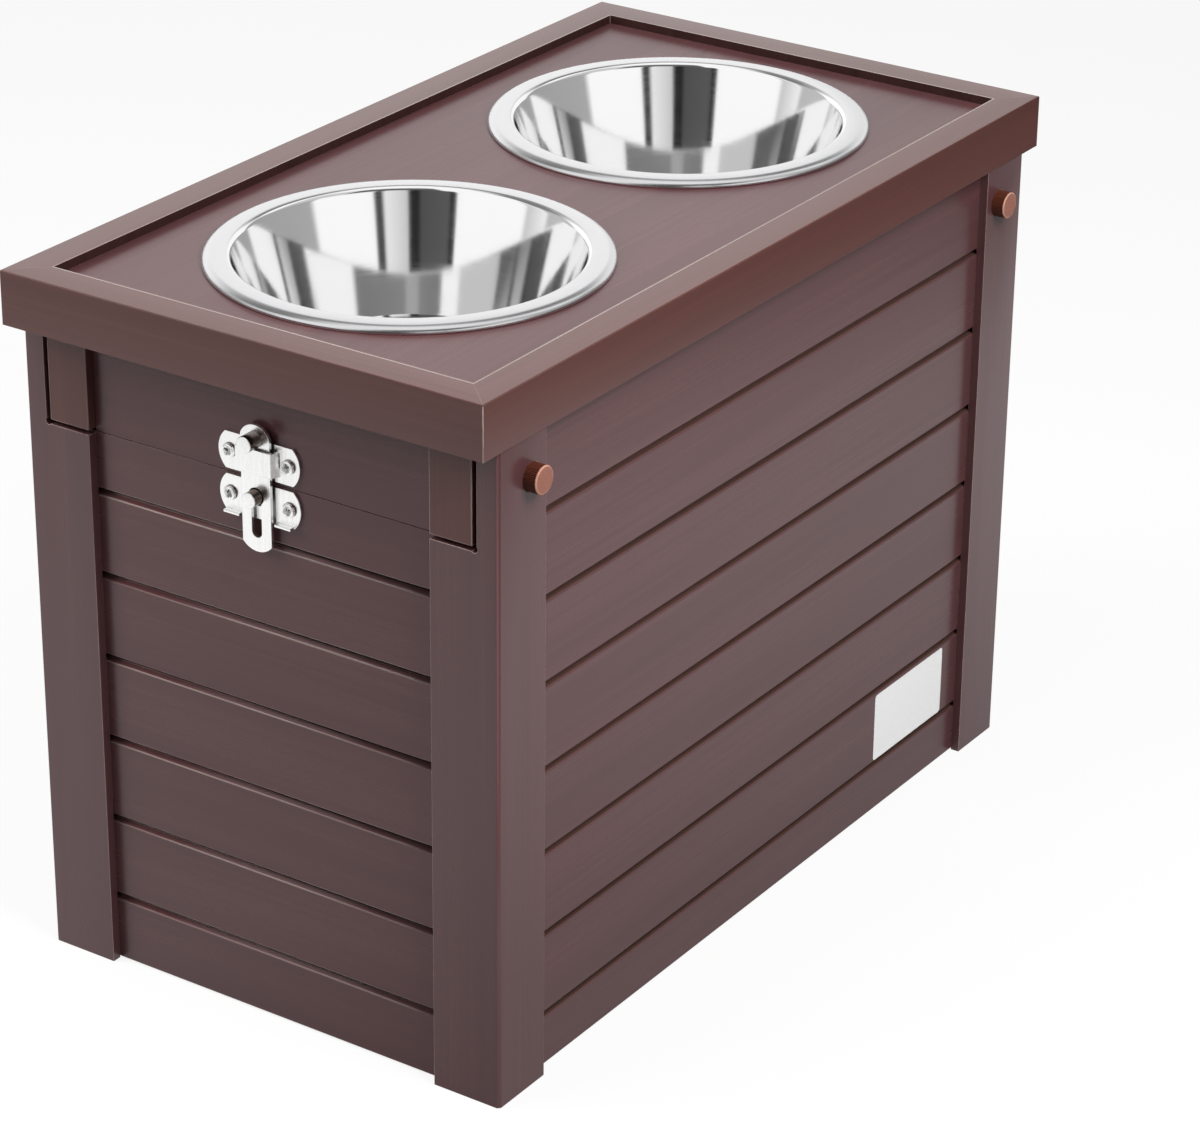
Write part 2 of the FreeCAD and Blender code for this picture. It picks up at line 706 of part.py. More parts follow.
# Latch plates: butterfly outline with two screw holes.
def latch_plate(label):
    body = new_body(label)
    shape = new_sketch(body, "Shape", "YZ_Plane")
    corners = [("plate_wing", None), ("plate_wing_end", None), ("plate_wing_end", "plate_height"),
               ("plate_wing", "plate_height")]
    right = FreeCAD.Vector(size("plate_width"), size("plate_mid"), 0)
    left = FreeCAD.Vector(0, size("plate_mid"), 0)
    bulged_strip(shape, corners, (None, right, None, left),
                 (None, "plate_wing_radius", None, "plate_wing_radius"))
    circle(shape, "plate_hole_first", "plate_mid", "plate_hole_radius")
    circle(shape, "plate_hole_second", "plate_mid", "plate_hole_radius")
    pad(body, shape, "plate_thickness")
    return body


# The upper plate, on the lid, carries a bridge that guides the bar.
upper_plate = latch_plate("latch_upper_plate")
bridge = new_sketch(upper_plate, "Bridge", "XY_Plane", "bridge_lift")
outline(bridge, [
    (None, "bridge_foot_first"),
    ("bridge_front", "bridge_outer_first"),
    ("bridge_front", "bridge_outer_second"),
    (None, "bridge_foot_second"),
    (None, "bridge_heel_second"),
    ("bridge_back", "bridge_inner_second"),
    ("bridge_back", "bridge_inner_first"),
    (None, "bridge_heel_first"),
])
pad(upper_plate, bridge, "bridge_height")
place(upper_plate, "-Fits.end_face", "Fits.plate_half_width", "Fits.upper_plate_bottom", 180)
keep(upper_plate, "latch_upper_plate")

# The lower plate, on the cabinet, has a lip bent out along its bottom edge on both sides of the bar.
lower_plate = latch_plate("latch_lower_plate")
for start, end in (("lip_first", "bridge_outer_first"), ("bridge_outer_second", "lip_last")):
    lip = new_sketch(lower_plate, "Lip", "XY_Plane")
    outline(lip, [(None, start), ("lip_front", start), ("lip_front", end), (None, end)])
    pad(lower_plate, lip, "plate_thickness")
place(lower_plate, "-Fits.end_face", "Fits.plate_half_width", "Fits.lower_plate_bottom", 180)
keep(lower_plate, "latch_lower_plate")

# The bar slides up and down behind the bridge. It has a round upper end, a keyhole and a slot under it.
latch_bar = new_body("latch_bar")
bar_shape = new_sketch(latch_bar, "Shape", "YZ_Plane")
bulged_strip(
    bar_shape,
    [(None, "bar_end_rise"), ("bar_width", "bar_end_rise"), ("bar_width", "bar_shoulder"),
     (None, "bar_shoulder")],
    (FreeCAD.Vector(size("bar_half_width"), 0, 0), None,
     FreeCAD.Vector(size("bar_half_width"), size("bar_length"), 0), None),
    ("bar_end_radius", None, "bar_top_radius", None))
pad(latch_bar, bar_shape, "bar_thickness")
keyhole = new_sketch(latch_bar, "Keyhole", "YZ_Plane")
circle(keyhole, "bar_half_width", "keyhole_height", "keyhole_radius")
pocket(latch_bar, keyhole)
slot = new_sketch(latch_bar, "Slot", "YZ_Plane")
outline(slot, [("slot_first", "slot_low"), ("slot_last", "slot_low"), ("slot_last", "keyhole_height"),
               ("slot_first", "keyhole_height")])
pocket(latch_bar, slot)
slot_end = new_sketch(latch_bar, "SlotEnd", "YZ_Plane")
circle(slot_end, "bar_half_width", "slot_low", "slot_half_width")
pocket(latch_bar, slot_end)
place(latch_bar, "-Fits.end_face - Fits.bar_back", "Fits.bar_half_width", "Fits.bar_bottom", 180)
keep(latch_bar, "latch_bar")

# The pull knob stands on the upper end of the bar. The slot stud comes through the keyhole and is held
# by the flange behind it.
keep(rod("latch_pull_knob", "knob_radius", "knob_length", "-Fits.knob_x", None, "Fits.knob_z", -90, ACROSS),
     "latch_pull_knob")
keep(joined("latch_slot_stud", [
    rod("stud_flange", "stud_flange_radius", "stud_flange_thickness", "-Fits.stud_flange_x", None,
        "Fits.stud_z", -90, ACROSS),
    rod("stud_shank", "stud_radius", "stud_reach", "-Fits.stud_flange_x", None, "Fits.stud_z", -90, ACROSS),
]), "latch_slot_stud")


# Butt hinges across the split at the hinge end: three knuckles on a pin, the middle one on the lid.
def knuckle(name, y, members, tab_bottom):
    members.append(rod(name, "knuckle_radius", "knuckle_length", "Fits.hinge_x", y, "Fits.split_height",
                       -90, ALONG))
    members.append(block(name + "_tab", "leaf_thickness", "knuckle_length", "leaf_edge_gap",
                         "Fits.end_face", y, tab_bottom))


def leaf(name, centre, lid_side):
    edge = "%s - Fits.leaf_half" % centre
    bottom = "Fits.lid_leaf_bottom" if lid_side else "Fits.cabinet_leaf_bottom"
    members = [block(name + "_plate", "leaf_thickness", "leaf_length", "leaf_plate_height",
                     "Fits.end_face", edge, bottom)]
    steps = ("",) if lid_side else (" - Fits.knuckle_step", " + Fits.knuckle_step")
    tab_bottom = "Fits.split_height" if lid_side else "Fits.cabinet_tab_bottom"
    for step in steps:
        knuckle(name + "_knuckle", "%s - Sizes.knuckle_length / 2%s" % (centre, step), members, tab_bottom)
    whole = joined(name + "_whole", members)
    level = "Fits.lid_leaf_screw_z" if lid_side else "Fits.cabinet_leaf_screw_z"
    holes = [rod(name + "_bore", "pin_bore", "leaf_length", "Fits.hinge_x", edge, "Fits.split_height",
                 -90, ALONG)]
    for sign in (" - ", " + "):
        holes.append(rod(name + "_screw_hole", "plate_hole_radius", "leaf_hole_length",
                         "Fits.leaf_hole_start", centre + sign + "Fits.leaf_screw_y", level, 90, ACROSS))
    bored = doc.addObject("Part::Cut", name)
    bored.Base = whole
    bored.Tool = joined(name + "_holes", holes)
    return bored


centres = ("Fits.hinge_first", "Fits.hinge_second")
group("hinge_lid_leaves", [leaf("lid_leaf", centre, True) for centre in centres])
group("hinge_cabinet_leaves", [leaf("cabinet_leaf", centre, False) for centre in centres])
group("hinge_pins", [
    rod("pin", "pin_radius", "leaf_length", "Fits.hinge_x", "%s - Fits.leaf_half" % centre,
        "Fits.split_height", -90, ALONG)
    for centre in centres
])


# Pan-head screws of the latch plates and hinge leaves.
def screw(x, y, z, turn):
    body = new_body("screw")
    section = new_sketch(body, "Section", "XZ_Plane")
    outline(section, [
        (None, None),
        ("screw_shank_radius", None),
        ("screw_shank_radius", "screw_length"),
        ("screw_head_radius", "screw_length"),
        ("screw_head_radius", "screw_head_shoulder"),
        ("screw_head_flat", "screw_head_top"),
        (None, "screw_head_top"),
    ])
    revolve(body, section)
    place(body, x, y, z, turn, ACROSS)
    return body


def screws(label, latch_level, leaf_level):
    members = [screw("-Fits.screw_tip", sign + "Fits.latch_screw_y", latch_level, -90) for sign in ("-", "")]
    for centre in centres:
        for sign in (" - ", " + "):
            members.append(screw("Fits.screw_tip", centre + sign + "Fits.leaf_screw_y", leaf_level, 90))
    group(label, members)


screws("cabinet_screws", "Fits.lower_screw_z", "Fits.cabinet_leaf_screw_z")
screws("lid_screws", "Fits.upper_screw_z", "Fits.lid_leaf_screw_z")

doc.recompute()
for item in doc.Objects:
    if "Invalid" in item.State or "Error" in item.State:
        raise RuntimeError("failed: " + item.Label)
for piece in pieces:
    if piece.Shape.isNull() or not piece.Shape.isValid():
        raise RuntimeError("bad shape: " + piece.Label)
os.makedirs("parts", exist_ok=True)
for piece in pieces:
    piece.Shape.exportStep("parts/%s.step" % piece.Label)
    box = piece.Shape.BoundBox
    print("%-24s solids %d volume %10.1f  x %8.2f %8.2f  y %8.2f %8.2f  z %7.2f %7.2f" % (
        piece.Label, len(piece.Shape.Solids), piece.Shape.Volume,
        box.XMin, box.XMax, box.YMin, box.YMax, box.ZMin, box.ZMax))
print("pieces", len(pieces))
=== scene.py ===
import json
from math import atan2, pi, radians

import bmesh
import bpy
from mathutils import Matrix, Vector

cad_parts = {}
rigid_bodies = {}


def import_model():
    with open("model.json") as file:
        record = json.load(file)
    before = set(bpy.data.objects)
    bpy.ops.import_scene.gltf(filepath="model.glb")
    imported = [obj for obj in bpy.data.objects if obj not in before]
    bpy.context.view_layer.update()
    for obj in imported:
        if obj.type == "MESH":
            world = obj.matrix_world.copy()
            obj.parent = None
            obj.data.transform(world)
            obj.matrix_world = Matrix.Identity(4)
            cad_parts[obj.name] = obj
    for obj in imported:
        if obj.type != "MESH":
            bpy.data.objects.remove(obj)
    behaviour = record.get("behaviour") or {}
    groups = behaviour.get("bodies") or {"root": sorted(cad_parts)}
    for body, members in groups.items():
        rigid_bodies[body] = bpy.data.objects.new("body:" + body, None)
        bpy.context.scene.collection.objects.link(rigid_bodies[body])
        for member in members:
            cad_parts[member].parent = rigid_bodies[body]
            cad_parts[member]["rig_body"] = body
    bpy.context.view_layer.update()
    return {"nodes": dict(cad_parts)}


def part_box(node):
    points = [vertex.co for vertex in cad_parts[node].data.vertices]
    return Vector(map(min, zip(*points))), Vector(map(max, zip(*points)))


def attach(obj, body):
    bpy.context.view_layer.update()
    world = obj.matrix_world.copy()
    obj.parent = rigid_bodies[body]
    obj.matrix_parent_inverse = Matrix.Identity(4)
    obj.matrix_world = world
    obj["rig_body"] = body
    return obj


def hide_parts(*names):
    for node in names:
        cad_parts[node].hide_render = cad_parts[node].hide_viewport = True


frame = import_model()

# Corner posts. Four L-shaped lengths of brown wood-plastic composite stand on the ground at the corners.
# Each is milled with two channels for the board ends and a notch at the top for the lid's leg.
# The eased arrises are painted paler: partly handling wear, and partly a painted highlight where the edges
# catch the light.
POST_ARRIS = 0.0007
POST_GLOSS = 1.54
CABINET_STAIN = (0.093, 0.0375, 0.040)
RUBBED_AND_HIGHLIGHT_SKIN = (0.42, 0.33, 0.30)
CORNERS = ("front_latch_end", "front_hinge_end", "back_latch_end", "back_hinge_end")
POST_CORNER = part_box("post_front_latch_end")[0]
POST_EDGE = 0.003
SKIN_TONES = (0.84, 1.0, 1.17)
RUBBED_AND_HIGHLIGHT_TONES = (1.6, 0.7)
SKIN, RUBBED_AND_HIGHLIGHT, INNER_PAINTED_SHADE = range(3)
FINE_GRAIN = (420.0, 4.0)
BROAD_GRAIN = (46.0, 2.6)
BROAD_SHIFT = (3.1, 1.7, 0.4)
GRAIN_STOPS = (0.32, 0.5, 0.68)
NOISE_RANGE = (0.3, 0.7)
GRAIN_BUMP = (0.015, 0.0003)
ROUGH_SPREAD = 0.02
SAME_POINT = 0.000001
FLAT_ANGLE = 1
ARRIS_ANGLE = 24


def add_node(tree, kind, sockets=None, **settings):
    made = tree.nodes.new(kind)
    for key, value in settings.items():
        setattr(made, key, value)
    for key, value in (sockets or {}).items():
        if isinstance(value, bpy.types.NodeSocket):
            tree.links.new(value, made.inputs[key])
        else:
            made.inputs[key].default_value = value
    return made


def new_finish(name, **sockets):
    finish = bpy.data.materials.new(name)
    finish.use_nodes = True
    shader = finish.node_tree.nodes["Principled BSDF"]
    for key, value in sockets.items():
        shader.inputs[key.replace("_", " ")].default_value = value
    return finish, finish.node_tree, shader


def stretched_noise(tree, stretch, detail=4.0, roughness=0.6, offset=(0, 0, 0)):
    coordinates = add_node(tree, "ShaderNodeTexCoord")
    mapped = add_node(tree, "ShaderNodeMapping", {"Vector": coordinates.outputs["Object"],
                                                  "Scale": stretch, "Location": offset})
    noise = add_node(tree, "ShaderNodeTexNoise", {"Vector": mapped.outputs["Vector"], "Scale": 1.0,
                                                  "Detail": detail, "Roughness": roughness})
    return noise.outputs["Fac"]


def graded(tree, amount, *stops):
    ramp = add_node(tree, "ShaderNodeValToRGB", {"Fac": amount})
    ends = ramp.color_ramp.elements
    while len(ends) < len(stops):
        ends.new(0.5)
    for end, (position, colour) in zip(ends, stops):
        end.position = position
        end.color = (*colour, 1)
    return ramp.outputs["Color"]


def spread(tree, amount, low, high):
    ranged = add_node(tree, "ShaderNodeMapRange", {"Value": amount, "From Min": NOISE_RANGE[0],
                                                   "From Max": NOISE_RANGE[1],
                                                   "To Min": low, "To Max": high})
    return ranged.outputs["Result"]


def shade(colour, factor):
    return tuple(channel * factor for channel in colour)


def composite(name, grain, tones, gloss, rough):
    finish, tree, shader = new_finish(name, IOR=gloss)
    fine = [FINE_GRAIN[0]] * 3
    fine[grain] = FINE_GRAIN[1]
    broad = [BROAD_GRAIN[0]] * 3
    broad[grain] = BROAD_GRAIN[1]
    drawn = stretched_noise(tree, fine, detail=5.0, roughness=0.65)
    cloud = stretched_noise(tree, broad, detail=3.0, roughness=0.55, offset=BROAD_SHIFT)
    mixed = add_node(tree, "ShaderNodeMath", {0: drawn, 1: cloud}, operation="ADD")
    halved = add_node(tree, "ShaderNodeMath", {0: mixed.outputs[0], 1: 0.5}, operation="MULTIPLY")
    colour = graded(tree, halved.outputs[0], *zip(GRAIN_STOPS, tones))
    bump = add_node(tree, "ShaderNodeBump", {"Height": drawn, "Strength": GRAIN_BUMP[0],
                                             "Distance": GRAIN_BUMP[1]})
    tree.links.new(colour, shader.inputs["Base Color"])
    tree.links.new(spread(tree, halved.outputs[0], rough + ROUGH_SPREAD, rough - ROUGH_SPREAD),
                   shader.inputs["Roughness"])
    tree.links.new(bump.outputs["Normal"], shader.inputs["Normal"])
    return finish


# Each board finish comes with a pale arris finish: partly wear, and partly a painted highlight.
def board_finishes(name, grain, stain, gloss=1.46, rough=0.28):
    skin = composite(name, grain, [shade(stain, tone) for tone in SKIN_TONES], gloss, rough)
    rubbed_and_highlight_tones = (shade(stain, RUBBED_AND_HIGHLIGHT_TONES[0]), shade(RUBBED_AND_HIGHLIGHT_SKIN, RUBBED_AND_HIGHLIGHT_TONES[1]), RUBBED_AND_HIGHLIGHT_SKIN)
    rubbed_and_highlight = composite(name + "_rubbed", grain, rubbed_and_highlight_tones, gloss, rough)
    return [skin, rubbed_and_highlight]


def dressed(bm, name, body, finishes, nodes=()):
    mesh = bpy.data.meshes.new(name)
    bm.to_mesh(mesh)
    bm.free()
    for layer in ("custom_normal", "sharp_edge"):
        if layer in mesh.attributes:
            mesh.attributes.remove(mesh.attributes[layer])
    mesh.shade_smooth()
    for finish in finishes:
        mesh.materials.append(finish)
    piece = bpy.data.objects.new(name, mesh)
    bpy.context.scene.collection.objects.link(piece)
    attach(piece, body)
    if nodes:
        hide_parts(*nodes)
    return piece


def flat_faced(piece):
    piece.modifiers.new("flat_faces", "WEIGHTED_NORMAL").weight = 100
    return piece


def eased(node, name, arris, finishes, arris_weight=None, finish_of=None, arris_finish=SKIN, scored=None):
    bm = bmesh.new()
    bm.from_mesh(frame["nodes"][node].data)
    bmesh.ops.remove_doubles(bm, verts=bm.verts, dist=SAME_POINT)
    bmesh.ops.dissolve_limit(bm, angle_limit=radians(FLAT_ANGLE), use_dissolve_boundaries=False,
                             verts=bm.verts, edges=bm.edges, delimit=set())
    if scored:
        whole = bm.verts[:] + bm.edges[:] + bm.faces[:]
        bmesh.ops.bisect_plane(bm, geom=whole, plane_co=scored, plane_no=scored)
    for face in bm.faces:
        face.material_index = finish_of(face) if finish_of else SKIN
    share = bm.edges.layers.float.new("bevel_weight_edge")
    for edge in bm.edges:
        if edge.is_manifold and edge.calc_face_angle() > radians(ARRIS_ANGLE):
            edge[share] = arris_weight(edge) if arris_weight else 1.0
    piece = dressed(bm, name, frame["nodes"][node]["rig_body"], finishes, [node])
    bevel = piece.modifiers.new("eased_arrises", "BEVEL")
    bevel.limit_method = "WEIGHT"
    bevel.width = arris
    bevel.segments = 2
    bevel.profile = 0.5
    bevel.material = arris_finish
    return flat_faced(piece)


def post_wear_and_highlight(edge):
    reaches = [abs(POST_CORNER.x) - abs(end.co.x) + abs(POST_CORNER.y) - abs(end.co.y) for end in edge.verts]
    return float(max(reaches) > POST_EDGE)


upright = board_finishes("composite_upright", 2, CABINET_STAIN, POST_GLOSS)
for corner in CORNERS:
    eased("post_" + corner, "corner_post_" + corner, POST_ARRIS, upright, post_wear_and_highlight, arris_finish=RUBBED_AND_HIGHLIGHT)

# Long side boards. Eight tongue-and-groove lengths of the same composite fill each long side.
# They slide down into the posts' channels, and each joint shows as a wide shadow groove whose inner faces
# are painted dark brown as painted shade.
LONG_BOARD_ARRIS = 0.0003
LONG_BOARDS = 8
GROOVE_REACH = (0.0001, 0.0035)
LONG_FACE = abs(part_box("front_board_1")[0].y)
GROOVE_PAINTED_SHADE = (0.075, 0.042, 0.032)
GROOVE_SHADE_TONES = (0.8, 1.0, 1.2)
GROOVE_SHADE = 1


def groove_painted_shade_mask(face):
    depth = LONG_FACE - abs(face.calc_center_median().y)
    return GROOVE_SHADE if GROOVE_REACH[0] < depth < GROOVE_REACH[1] else SKIN


lengthwise = board_finishes("composite_lengthwise", 0, CABINET_STAIN)
# The groove's inner faces get a darker brown finish as painted shade.
groove = composite("groove_painted_shade_composite", 0, [shade(GROOVE_PAINTED_SHADE, tone) for tone in GROOVE_SHADE_TONES],
                   gloss=1.4, rough=0.5)
for side in ("front", "back"):
    for number in range(1, LONG_BOARDS + 1):
        eased(f"{side}_board_{number}", f"{side}_wall_board_{number}", LONG_BOARD_ARRIS,
              [lengthwise[0], groove], finish_of=groove_painted_shade_mask)

# End boards. Seven shorter lengths close each end, up to a hairline split under the lid's apron.
# The top edge of every board is chamfered, and the chamfer's outer edges are painted pale as a painted
# highlight under the groove.
END_BOARD_ARRIS = 0.0004
END_BOARDS = 7
END_CHAMFER = 0.0019
END_FACE = abs(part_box("latch_end_board_1")[0].x)
SPLIT = (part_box("latch_end_board_7")[1].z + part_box("lid_apron_latch_end")[0].z) / 2
SPLIT_SHARE = 0.2


def split_arris_weight(edge):
    return SPLIT_SHARE if all(abs(end.co.z - SPLIT) < END_BOARD_ARRIS for end in edge.verts) else 1.0


# The chamfer's outer edges are bevelled into the pale finish as a painted highlight.
def end_chamfer_highlight(edge):
    outer = all(abs(end.co.x) > END_FACE - END_CHAMFER for end in edge.verts)
    along = abs(edge.verts[0].co.y - edge.verts[1].co.y) > END_FACE / 2
    return split_arris_weight(edge) if outer and along else 0.0


crosswise = board_finishes("composite_crosswise", 1, CABINET_STAIN)
for side in ("latch_end", "hinge_end"):
    for number in range(1, END_BOARDS + 1):
        eased(f"{side}_board_{number}", f"{side}_wall_board_{number}", END_BOARD_ARRIS, crosswise,
              end_chamfer_highlight, arris_finish=RUBBED_AND_HIGHLIGHT)

# Storage floor. A plain composite panel lies on two battens that run along the long sides.
# It is seen only with the lid open, and keeps its sawn edges.
for node in ("floor_panel", "floor_battens"):
    frame["nodes"][node].material_slots[0].material = lengthwise[0]

# Lid frame. Four rails are mitred at the corners and glued round the panel, with softly rounded arrises.
# They are cut from a slightly redder batch of the composite. The mitres close to a hairline. The corners and
# other eased arrises are painted pale, partly wear and partly painted highlight; a narrow strip along the
# inner top edges is a painted highlight, and the inner upright faces are painted dark as painted shade.
RAIL_STAIN = (0.094, 0.034, 0.029)
RAIL_ARRIS = 0.0004
RAIL_GLOSS = 1.54
RAIL_ROUGH = 0.21
RAIL_EDGE = 0.001
MITRE_SHARE = 0.08
RAIL_HIGHLIGHT_STRIP = 0.0007
SQUARE_ON = 0.9
INNER_SHADE_TONES = (0.2, 0.3, 0.4)
MITRE_GAP = 0.00002
LID_CORNER, LID_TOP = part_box("lid_rail_latch_end")


def inside_lid(end):
    return abs(LID_CORNER.x) - abs(end.co.x), abs(LID_CORNER.y) - abs(end.co.y)


def rail_wear_and_highlight(edge):
    insets = [inside_lid(end) for end in edge.verts]
    upright_edge = abs(edge.verts[0].co.z - edge.verts[1].co.z) > RAIL_EDGE
    on_top = all(LID_TOP.z - end.co.z < RAIL_EDGE for end in edge.verts)
    if on_top and all(min(inset) < RAIL_EDGE for inset in insets):
        return 0.0
    if not upright_edge and all(abs(along - across) < MITRE_GAP for along, across in insets):
        return MITRE_SHARE
    return 1.0


# The narrow top strip along the inner edge takes the pale finish as a painted highlight, and the inner
# upright faces take painted shade.
def rail_finish(face):
    middle = face.calc_center_median()
    if face.normal.z > SQUARE_ON and min(edge.calc_length() for edge in face.edges) < 2 * RAIL_HIGHLIGHT_STRIP:
        return RUBBED_AND_HIGHLIGHT if LID_TOP.z - middle.z < RAIL_EDGE else SKIN
    upright_face = max(abs(face.normal.x), abs(face.normal.y)) > SQUARE_ON
    return INNER_PAINTED_SHADE if upright_face and face.normal.dot(Vector((*middle.xy, 0))) < 0 else SKIN


def rail_score(side):
    low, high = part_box("lid_rail_" + side)
    axis = 1 if low.y * high.y > 0 else 0
    inner = low[axis] if low[axis] > 0 else high[axis]
    score = Vector()
    score[axis] = inner + (RAIL_HIGHLIGHT_STRIP if inner > 0 else -RAIL_HIGHLIGHT_STRIP)
    return score


# The rails' inner upright faces are painted near-black as painted shade.
rail_inner_painted_shade = composite("rail_inner_side_painted_shade", 2, [shade(RAIL_STAIN, tone) for tone in INNER_SHADE_TONES],
                      gloss=1.4, rough=0.6)
rail_lengthwise = board_finishes("rail_composite_lengthwise", 0, RAIL_STAIN, RAIL_GLOSS, RAIL_ROUGH)
rail_crosswise = board_finishes("rail_composite_crosswise", 1, RAIL_STAIN, RAIL_GLOSS, RAIL_ROUGH)
for side, finishes in (("front", rail_lengthwise), ("back", rail_lengthwise),
                       ("latch_end", rail_crosswise), ("hinge_end", rail_crosswise)):
    eased("lid_rail_" + side, "lid_frame_rail_" + side, RAIL_ARRIS, [*finishes, rail_inner_painted_shade],
          rail_wear_and_highlight, rail_finish, RUBBED_AND_HIGHLIGHT, rail_score(side))

# Lid panel. A sheet of the composite is let into a groove in the rails, a little below their top.
# It has a round hole for each bowl, sawn and eased.
eased("lid_panel", "lid_sunk_panel", END_BOARD_ARRIS, lengthwise[:1])

# Lid aprons and legs. A short board hangs under each end of the lid and closes the top of that end wall.
# The four legs drop into the posts' notches and keep the lid square on the cabinet.
for side in ("latch_end", "hinge_end"):
    eased("lid_apron_" + side, "lid_hanging_apron_" + side, END_BOARD_ARRIS, crosswise[:1],
          split_arris_weight)
# The legs' eased arrises take the pale finish, partly wear and partly painted highlight.
eased("lid_legs", "lid_notch_legs", END_BOARD_ARRIS,
      board_finishes("rail_composite_upright", 2, RAIL_STAIN), arris_finish=RUBBED_AND_HIGHLIGHT)

# Pegs. Four short fluted dowels of reddish wood are pushed into bores in the posts.
# Their ends are sawn square, so they show a dull pale face inside a narrow eased edge.
PEG_RADIUS = 0.006
PEG_EDGE = 0.0006
PEG_FLUTES = 48
FLUTE_DEPTH = 0.0003
PEG_STAIN = (0.095, 0.024, 0.012)
PEG_SAWN = (0.29, 0.125, 0.09)
PEG_RING = (0.50, 0.26, 0.19)
PEG_STOPS = (0.3, 0.7)
PEG_TONES = (0.78, 1.2)
PEG_ROUGH_SPREAD = 0.06
PEG_BUMP = (0.25, 0.0002)
PEG_END, PEG_RIM = 1, 2
ON_BARREL = 0.1
SQUARE_END = 0.99


def spun(profile, centre, axis, steps, rounds=None):
    axis = Vector(axis)
    side = axis.orthogonal().normalized()
    bm = bmesh.new()
    points = [bm.verts.new(Vector(centre) + side * radius + axis * level) for radius, level in profile]
    for first, second in zip(points, points[1:]):
        bm.edges.new((first, second))
    for index, (setback, segments) in (rounds or {}).items():
        bmesh.ops.bevel(bm, geom=[points[index]], offset=setback, offset_type="OFFSET", affect="VERTICES",
                        segments=segments, profile=0.5, material=-1)
    bmesh.ops.spin(bm, geom=bm.verts[:] + bm.edges[:], cent=centre, axis=axis, dvec=(0, 0, 0), angle=2 * pi,
                   steps=steps, use_merge=True, use_normal_flip=False, use_duplicate=False)
    bmesh.ops.remove_doubles(bm, verts=bm.verts, dist=SAME_POINT)
    bmesh.ops.recalc_face_normals(bm, faces=bm.faces)
    return bm


def peg_finish(name, colour, stretch, rough):
    finish, tree, shader = new_finish(name)
    grain = stretched_noise(tree, stretch, detail=5.0, roughness=0.7)
    tones = [shade(colour, tone) for tone in PEG_TONES]
    tree.links.new(graded(tree, grain, *zip(PEG_STOPS, tones)), shader.inputs["Base Color"])
    tree.links.new(spread(tree, grain, rough + PEG_ROUGH_SPREAD, rough - PEG_ROUGH_SPREAD),
                   shader.inputs["Roughness"])
    bump = add_node(tree, "ShaderNodeBump", {"Height": grain, "Strength": PEG_BUMP[0],
                                             "Distance": PEG_BUMP[1]})
    tree.links.new(bump.outputs["Normal"], shader.inputs["Normal"])
    return finish


peg_finishes = [
    peg_finish("peg_barrel", PEG_STAIN, (900.0, 40.0, 900.0), 0.55),
    peg_finish("peg_sawn_end", PEG_SAWN, (1500.0, 1500.0, 1500.0), 0.75),
    peg_finish("peg_eased_edge", PEG_RING, (900.0, 900.0, 900.0), 0.6),
]
for corner in CORNERS:
    node = "peg_" + corner
    low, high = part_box(node)
    outward = -1 if corner.startswith("front") else 1
    start = high.y if outward < 0 else low.y
    length = high.y - low.y
    middle = Vector(((low.x + high.x) / 2, start, (low.z + high.z) / 2))
    bm = spun([(0, 0), (PEG_RADIUS, 0), (PEG_RADIUS, length), (0, length)], middle, (0, outward, 0),
              2 * PEG_FLUTES, {1: (PEG_EDGE, 2), 2: (PEG_EDGE, 3)})
    furrows = []
    for face in bm.faces:
        spot = face.calc_center_median() - middle
        if abs(face.normal.y) < ON_BARREL:
            if int(atan2(spot.z, spot.x) % (2 * pi) * PEG_FLUTES / pi) % 2:
                furrows.append(face)
        elif abs(spot.y) > length / 2:
            face.material_index = PEG_END if abs(face.normal.y) > SQUARE_END else PEG_RIM
    bmesh.ops.inset_individual(bm, faces=furrows, thickness=FLUTE_DEPTH / 2, depth=-FLUTE_DEPTH)
    flat_faced(dressed(bm, "dowel_" + node, node, peg_finishes, [node]))

# Bowls. Two stainless bowls are spun from one thin sheet each and hang in the lid by their rims.
# The wall is polished bright, the flat rim is left satin, and its edge is rolled down to the panel.
SHEET = 0.0009
BOWL_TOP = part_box("bowl_latch_end")[1].z
BOWL_FLOOR = BOWL_TOP - 0.0606
RIM_RADIUS = 0.0844
BOWL_PROFILE = (
    (0, BOWL_FLOOR), (0.0576, BOWL_FLOOR), (0.0744, BOWL_TOP - 0.0001), (0.0826, BOWL_TOP - 0.0003),
    (RIM_RADIUS, BOWL_TOP - 0.0014), (RIM_RADIUS, BOWL_TOP - 0.0025),
)
BOWL_STEPS = 128
POLISH, SATIN = range(2)
BOWL_ROUNDS = {1: (0.0098, 12), 2: (0.0014, 6), 3: (0.0009, 5), 4: (0.0006, 3)}
RIM_START = 0.0752
POLISHED_STEEL = (0.94, 0.94, 0.94)
SATIN_STEEL = (0.75, 0.75, 0.76)
SCRATCH_DEPTH = 0.0001


def steel(name, colour, stretch, low, high, bite=0.03):
    finish, tree, shader = new_finish(name, Metallic=1.0, Base_Color=(*colour, 1))
    scratches = stretched_noise(tree, stretch, detail=6.0, roughness=0.7)
    tree.links.new(spread(tree, scratches, low, high), shader.inputs["Roughness"])
    bump = add_node(tree, "ShaderNodeBump", {"Height": scratches, "Strength": bite,
                                             "Distance": SCRATCH_DEPTH})
    tree.links.new(bump.outputs["Normal"], shader.inputs["Normal"])
    return finish


